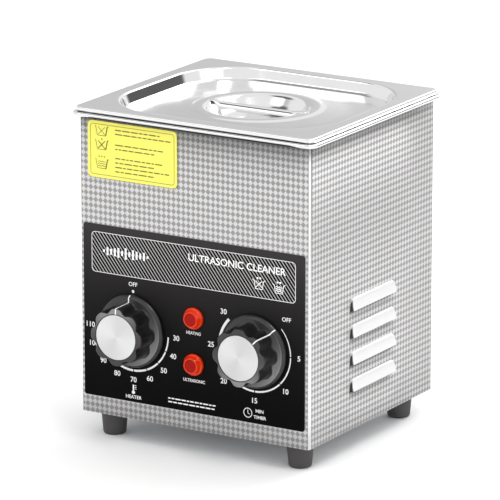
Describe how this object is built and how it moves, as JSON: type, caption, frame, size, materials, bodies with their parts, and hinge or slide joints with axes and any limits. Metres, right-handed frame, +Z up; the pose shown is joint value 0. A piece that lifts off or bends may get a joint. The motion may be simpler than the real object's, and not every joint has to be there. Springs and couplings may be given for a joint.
{
  "type": "ultrasonic cleaner",
  "caption": "Bench ultrasonic cleaner: patterned steel housing on rubber feet, deep drawn tank, lift-off lid with a sunk grip, two dials, pilot lamps, side louvres and a rear mains inlet.",
  "frame": {"origin": "on the ground, under the middle of the whole object's bounding box", "axes": "+Z up; the front with the dials faces -Y, the rear with the mains inlet faces +Y, +X is to the right of someone facing the dials"},
  "size_m": [0.175, 0.1788, 0.2124],
  "materials": {
    "patterned_steel": "pressed diamond pattern, satin",
    "polished_steel": "bright drawn stainless",
    "zinc_steel": "zinc plated",
    "aluminium": "spun",
    "brass": "rolled sheet",
    "copper": "drawn",
    "ceramic": "fired ceramic",
    "gloss_black": "moulded, polished",
    "panel_black": "printed film",
    "label_yellow": "printed film",
    "lamp_red": "translucent moulding",
    "foot_rubber": "moulded",
    "black_plastic": "moulded",
    "cream_plastic": "moulded",
    "board_green": "solder mask",
    "heater_silicone": "moulded sheet",
    "wire_red": "extruded sleeve",
    "wire_blue": "extruded sleeve"
  },
  "bodies": {
    "housing": {"housing_wrap": "patterned_steel", "rear_panel": "zinc_steel", "base_plate": "zinc_steel", "foot_front_left": "foot_rubber", "foot_screw_front_left": "zinc_steel", "foot_front_right": "foot_rubber", "foot_screw_front_right": "zinc_steel", "foot_rear_left": "foot_rubber", "foot_screw_rear_left": "zinc_steel", "foot_rear_right": "foot_rubber", "foot_screw_rear_right": "zinc_steel", "base_screw_left_1": "zinc_steel", "rear_screw_left_1": "zinc_steel", "base_screw_left_2": "zinc_steel", "rear_screw_left_2": "zinc_steel", "base_screw_right_1": "zinc_steel", "rear_screw_right_1": "zinc_steel", "base_screw_right_2": "zinc_steel", "rear_screw_right_2": "zinc_steel", "tank": "polished_steel", "tank_gasket": "foot_rubber", "control_panel": "panel_black", "care_label": "label_yellow", "heating_lamp_lens": "lamp_red", "heating_lamp_holder": "black_plastic", "ultrasonic_lamp_lens": "lamp_red", "ultrasonic_lamp_holder": "black_plastic", "thermostat_nut": "zinc_steel", "thermostat_body": "cream_plastic", "timer_nut": "zinc_steel", "timer_body": "zinc_steel", "thermostat_bulb": "copper", "capillary_tube": "copper", "transducer_front_mass": "aluminium", "transducer_upper_ceramic": "ceramic", "transducer_electrode": "brass", "transducer_lower_ceramic": "ceramic", "transducer_back_mass": "zinc_steel", "transducer_bolt": "zinc_steel", "heater_pad": "heater_silicone", "board_bracket": "zinc_steel", "generator_board": "board_green", "output_transformer": "copper", "heatsink": "aluminium", "power_transistor": "black_plastic", "main_capacitor": "wire_blue", "power_inlet": "black_plastic", "switch_frame": "black_plastic", "transducer_lead": "wire_red", "mains_lead": "wire_blue"},
    "lid": {"lid": "polished_steel", "lid_grip": "polished_steel"},
    "heater_dial": {"heater_knob": "gloss_black", "heater_knob_cap": "aluminium", "thermostat_shaft": "aluminium"},
    "timer_dial": {"timer_knob": "gloss_black", "timer_knob_cap": "aluminium", "timer_shaft": "aluminium"},
    "power_rocker": {"switch_rocker": "black_plastic"},
    "fuse_tray": {"fuse_drawer": "black_plastic"}
  },
  "joints": [
    {"name": "lid_lift", "type": "slide", "parent": "housing", "child": "lid", "axis": [0, 0, 1], "range_m": [0, 0.15]},
    {"name": "heater_knob_turn", "type": "hinge", "parent": "housing", "child": "heater_dial", "pos_m": [-0.0437, -0.06935, 0.07415], "axis": [0, 1, 0], "range_deg": [0, 270]},
    {"name": "timer_knob_turn", "type": "hinge", "parent": "housing", "child": "timer_dial", "pos_m": [0.0445, -0.06935, 0.07415], "axis": [0, 1, 0], "range_deg": [0, 270]},
    {"name": "power_switch", "type": "hinge", "parent": "housing", "child": "power_rocker", "pos_m": [-0.042, 0.08285, 0.048], "axis": [1, 0, 0], "range_deg": [0, 16]},
    {"name": "fuse_drawer_slide", "type": "slide", "parent": "housing", "child": "fuse_tray", "axis": [0, 1, 0], "range_m": [0, 0.018]}
  ]
}
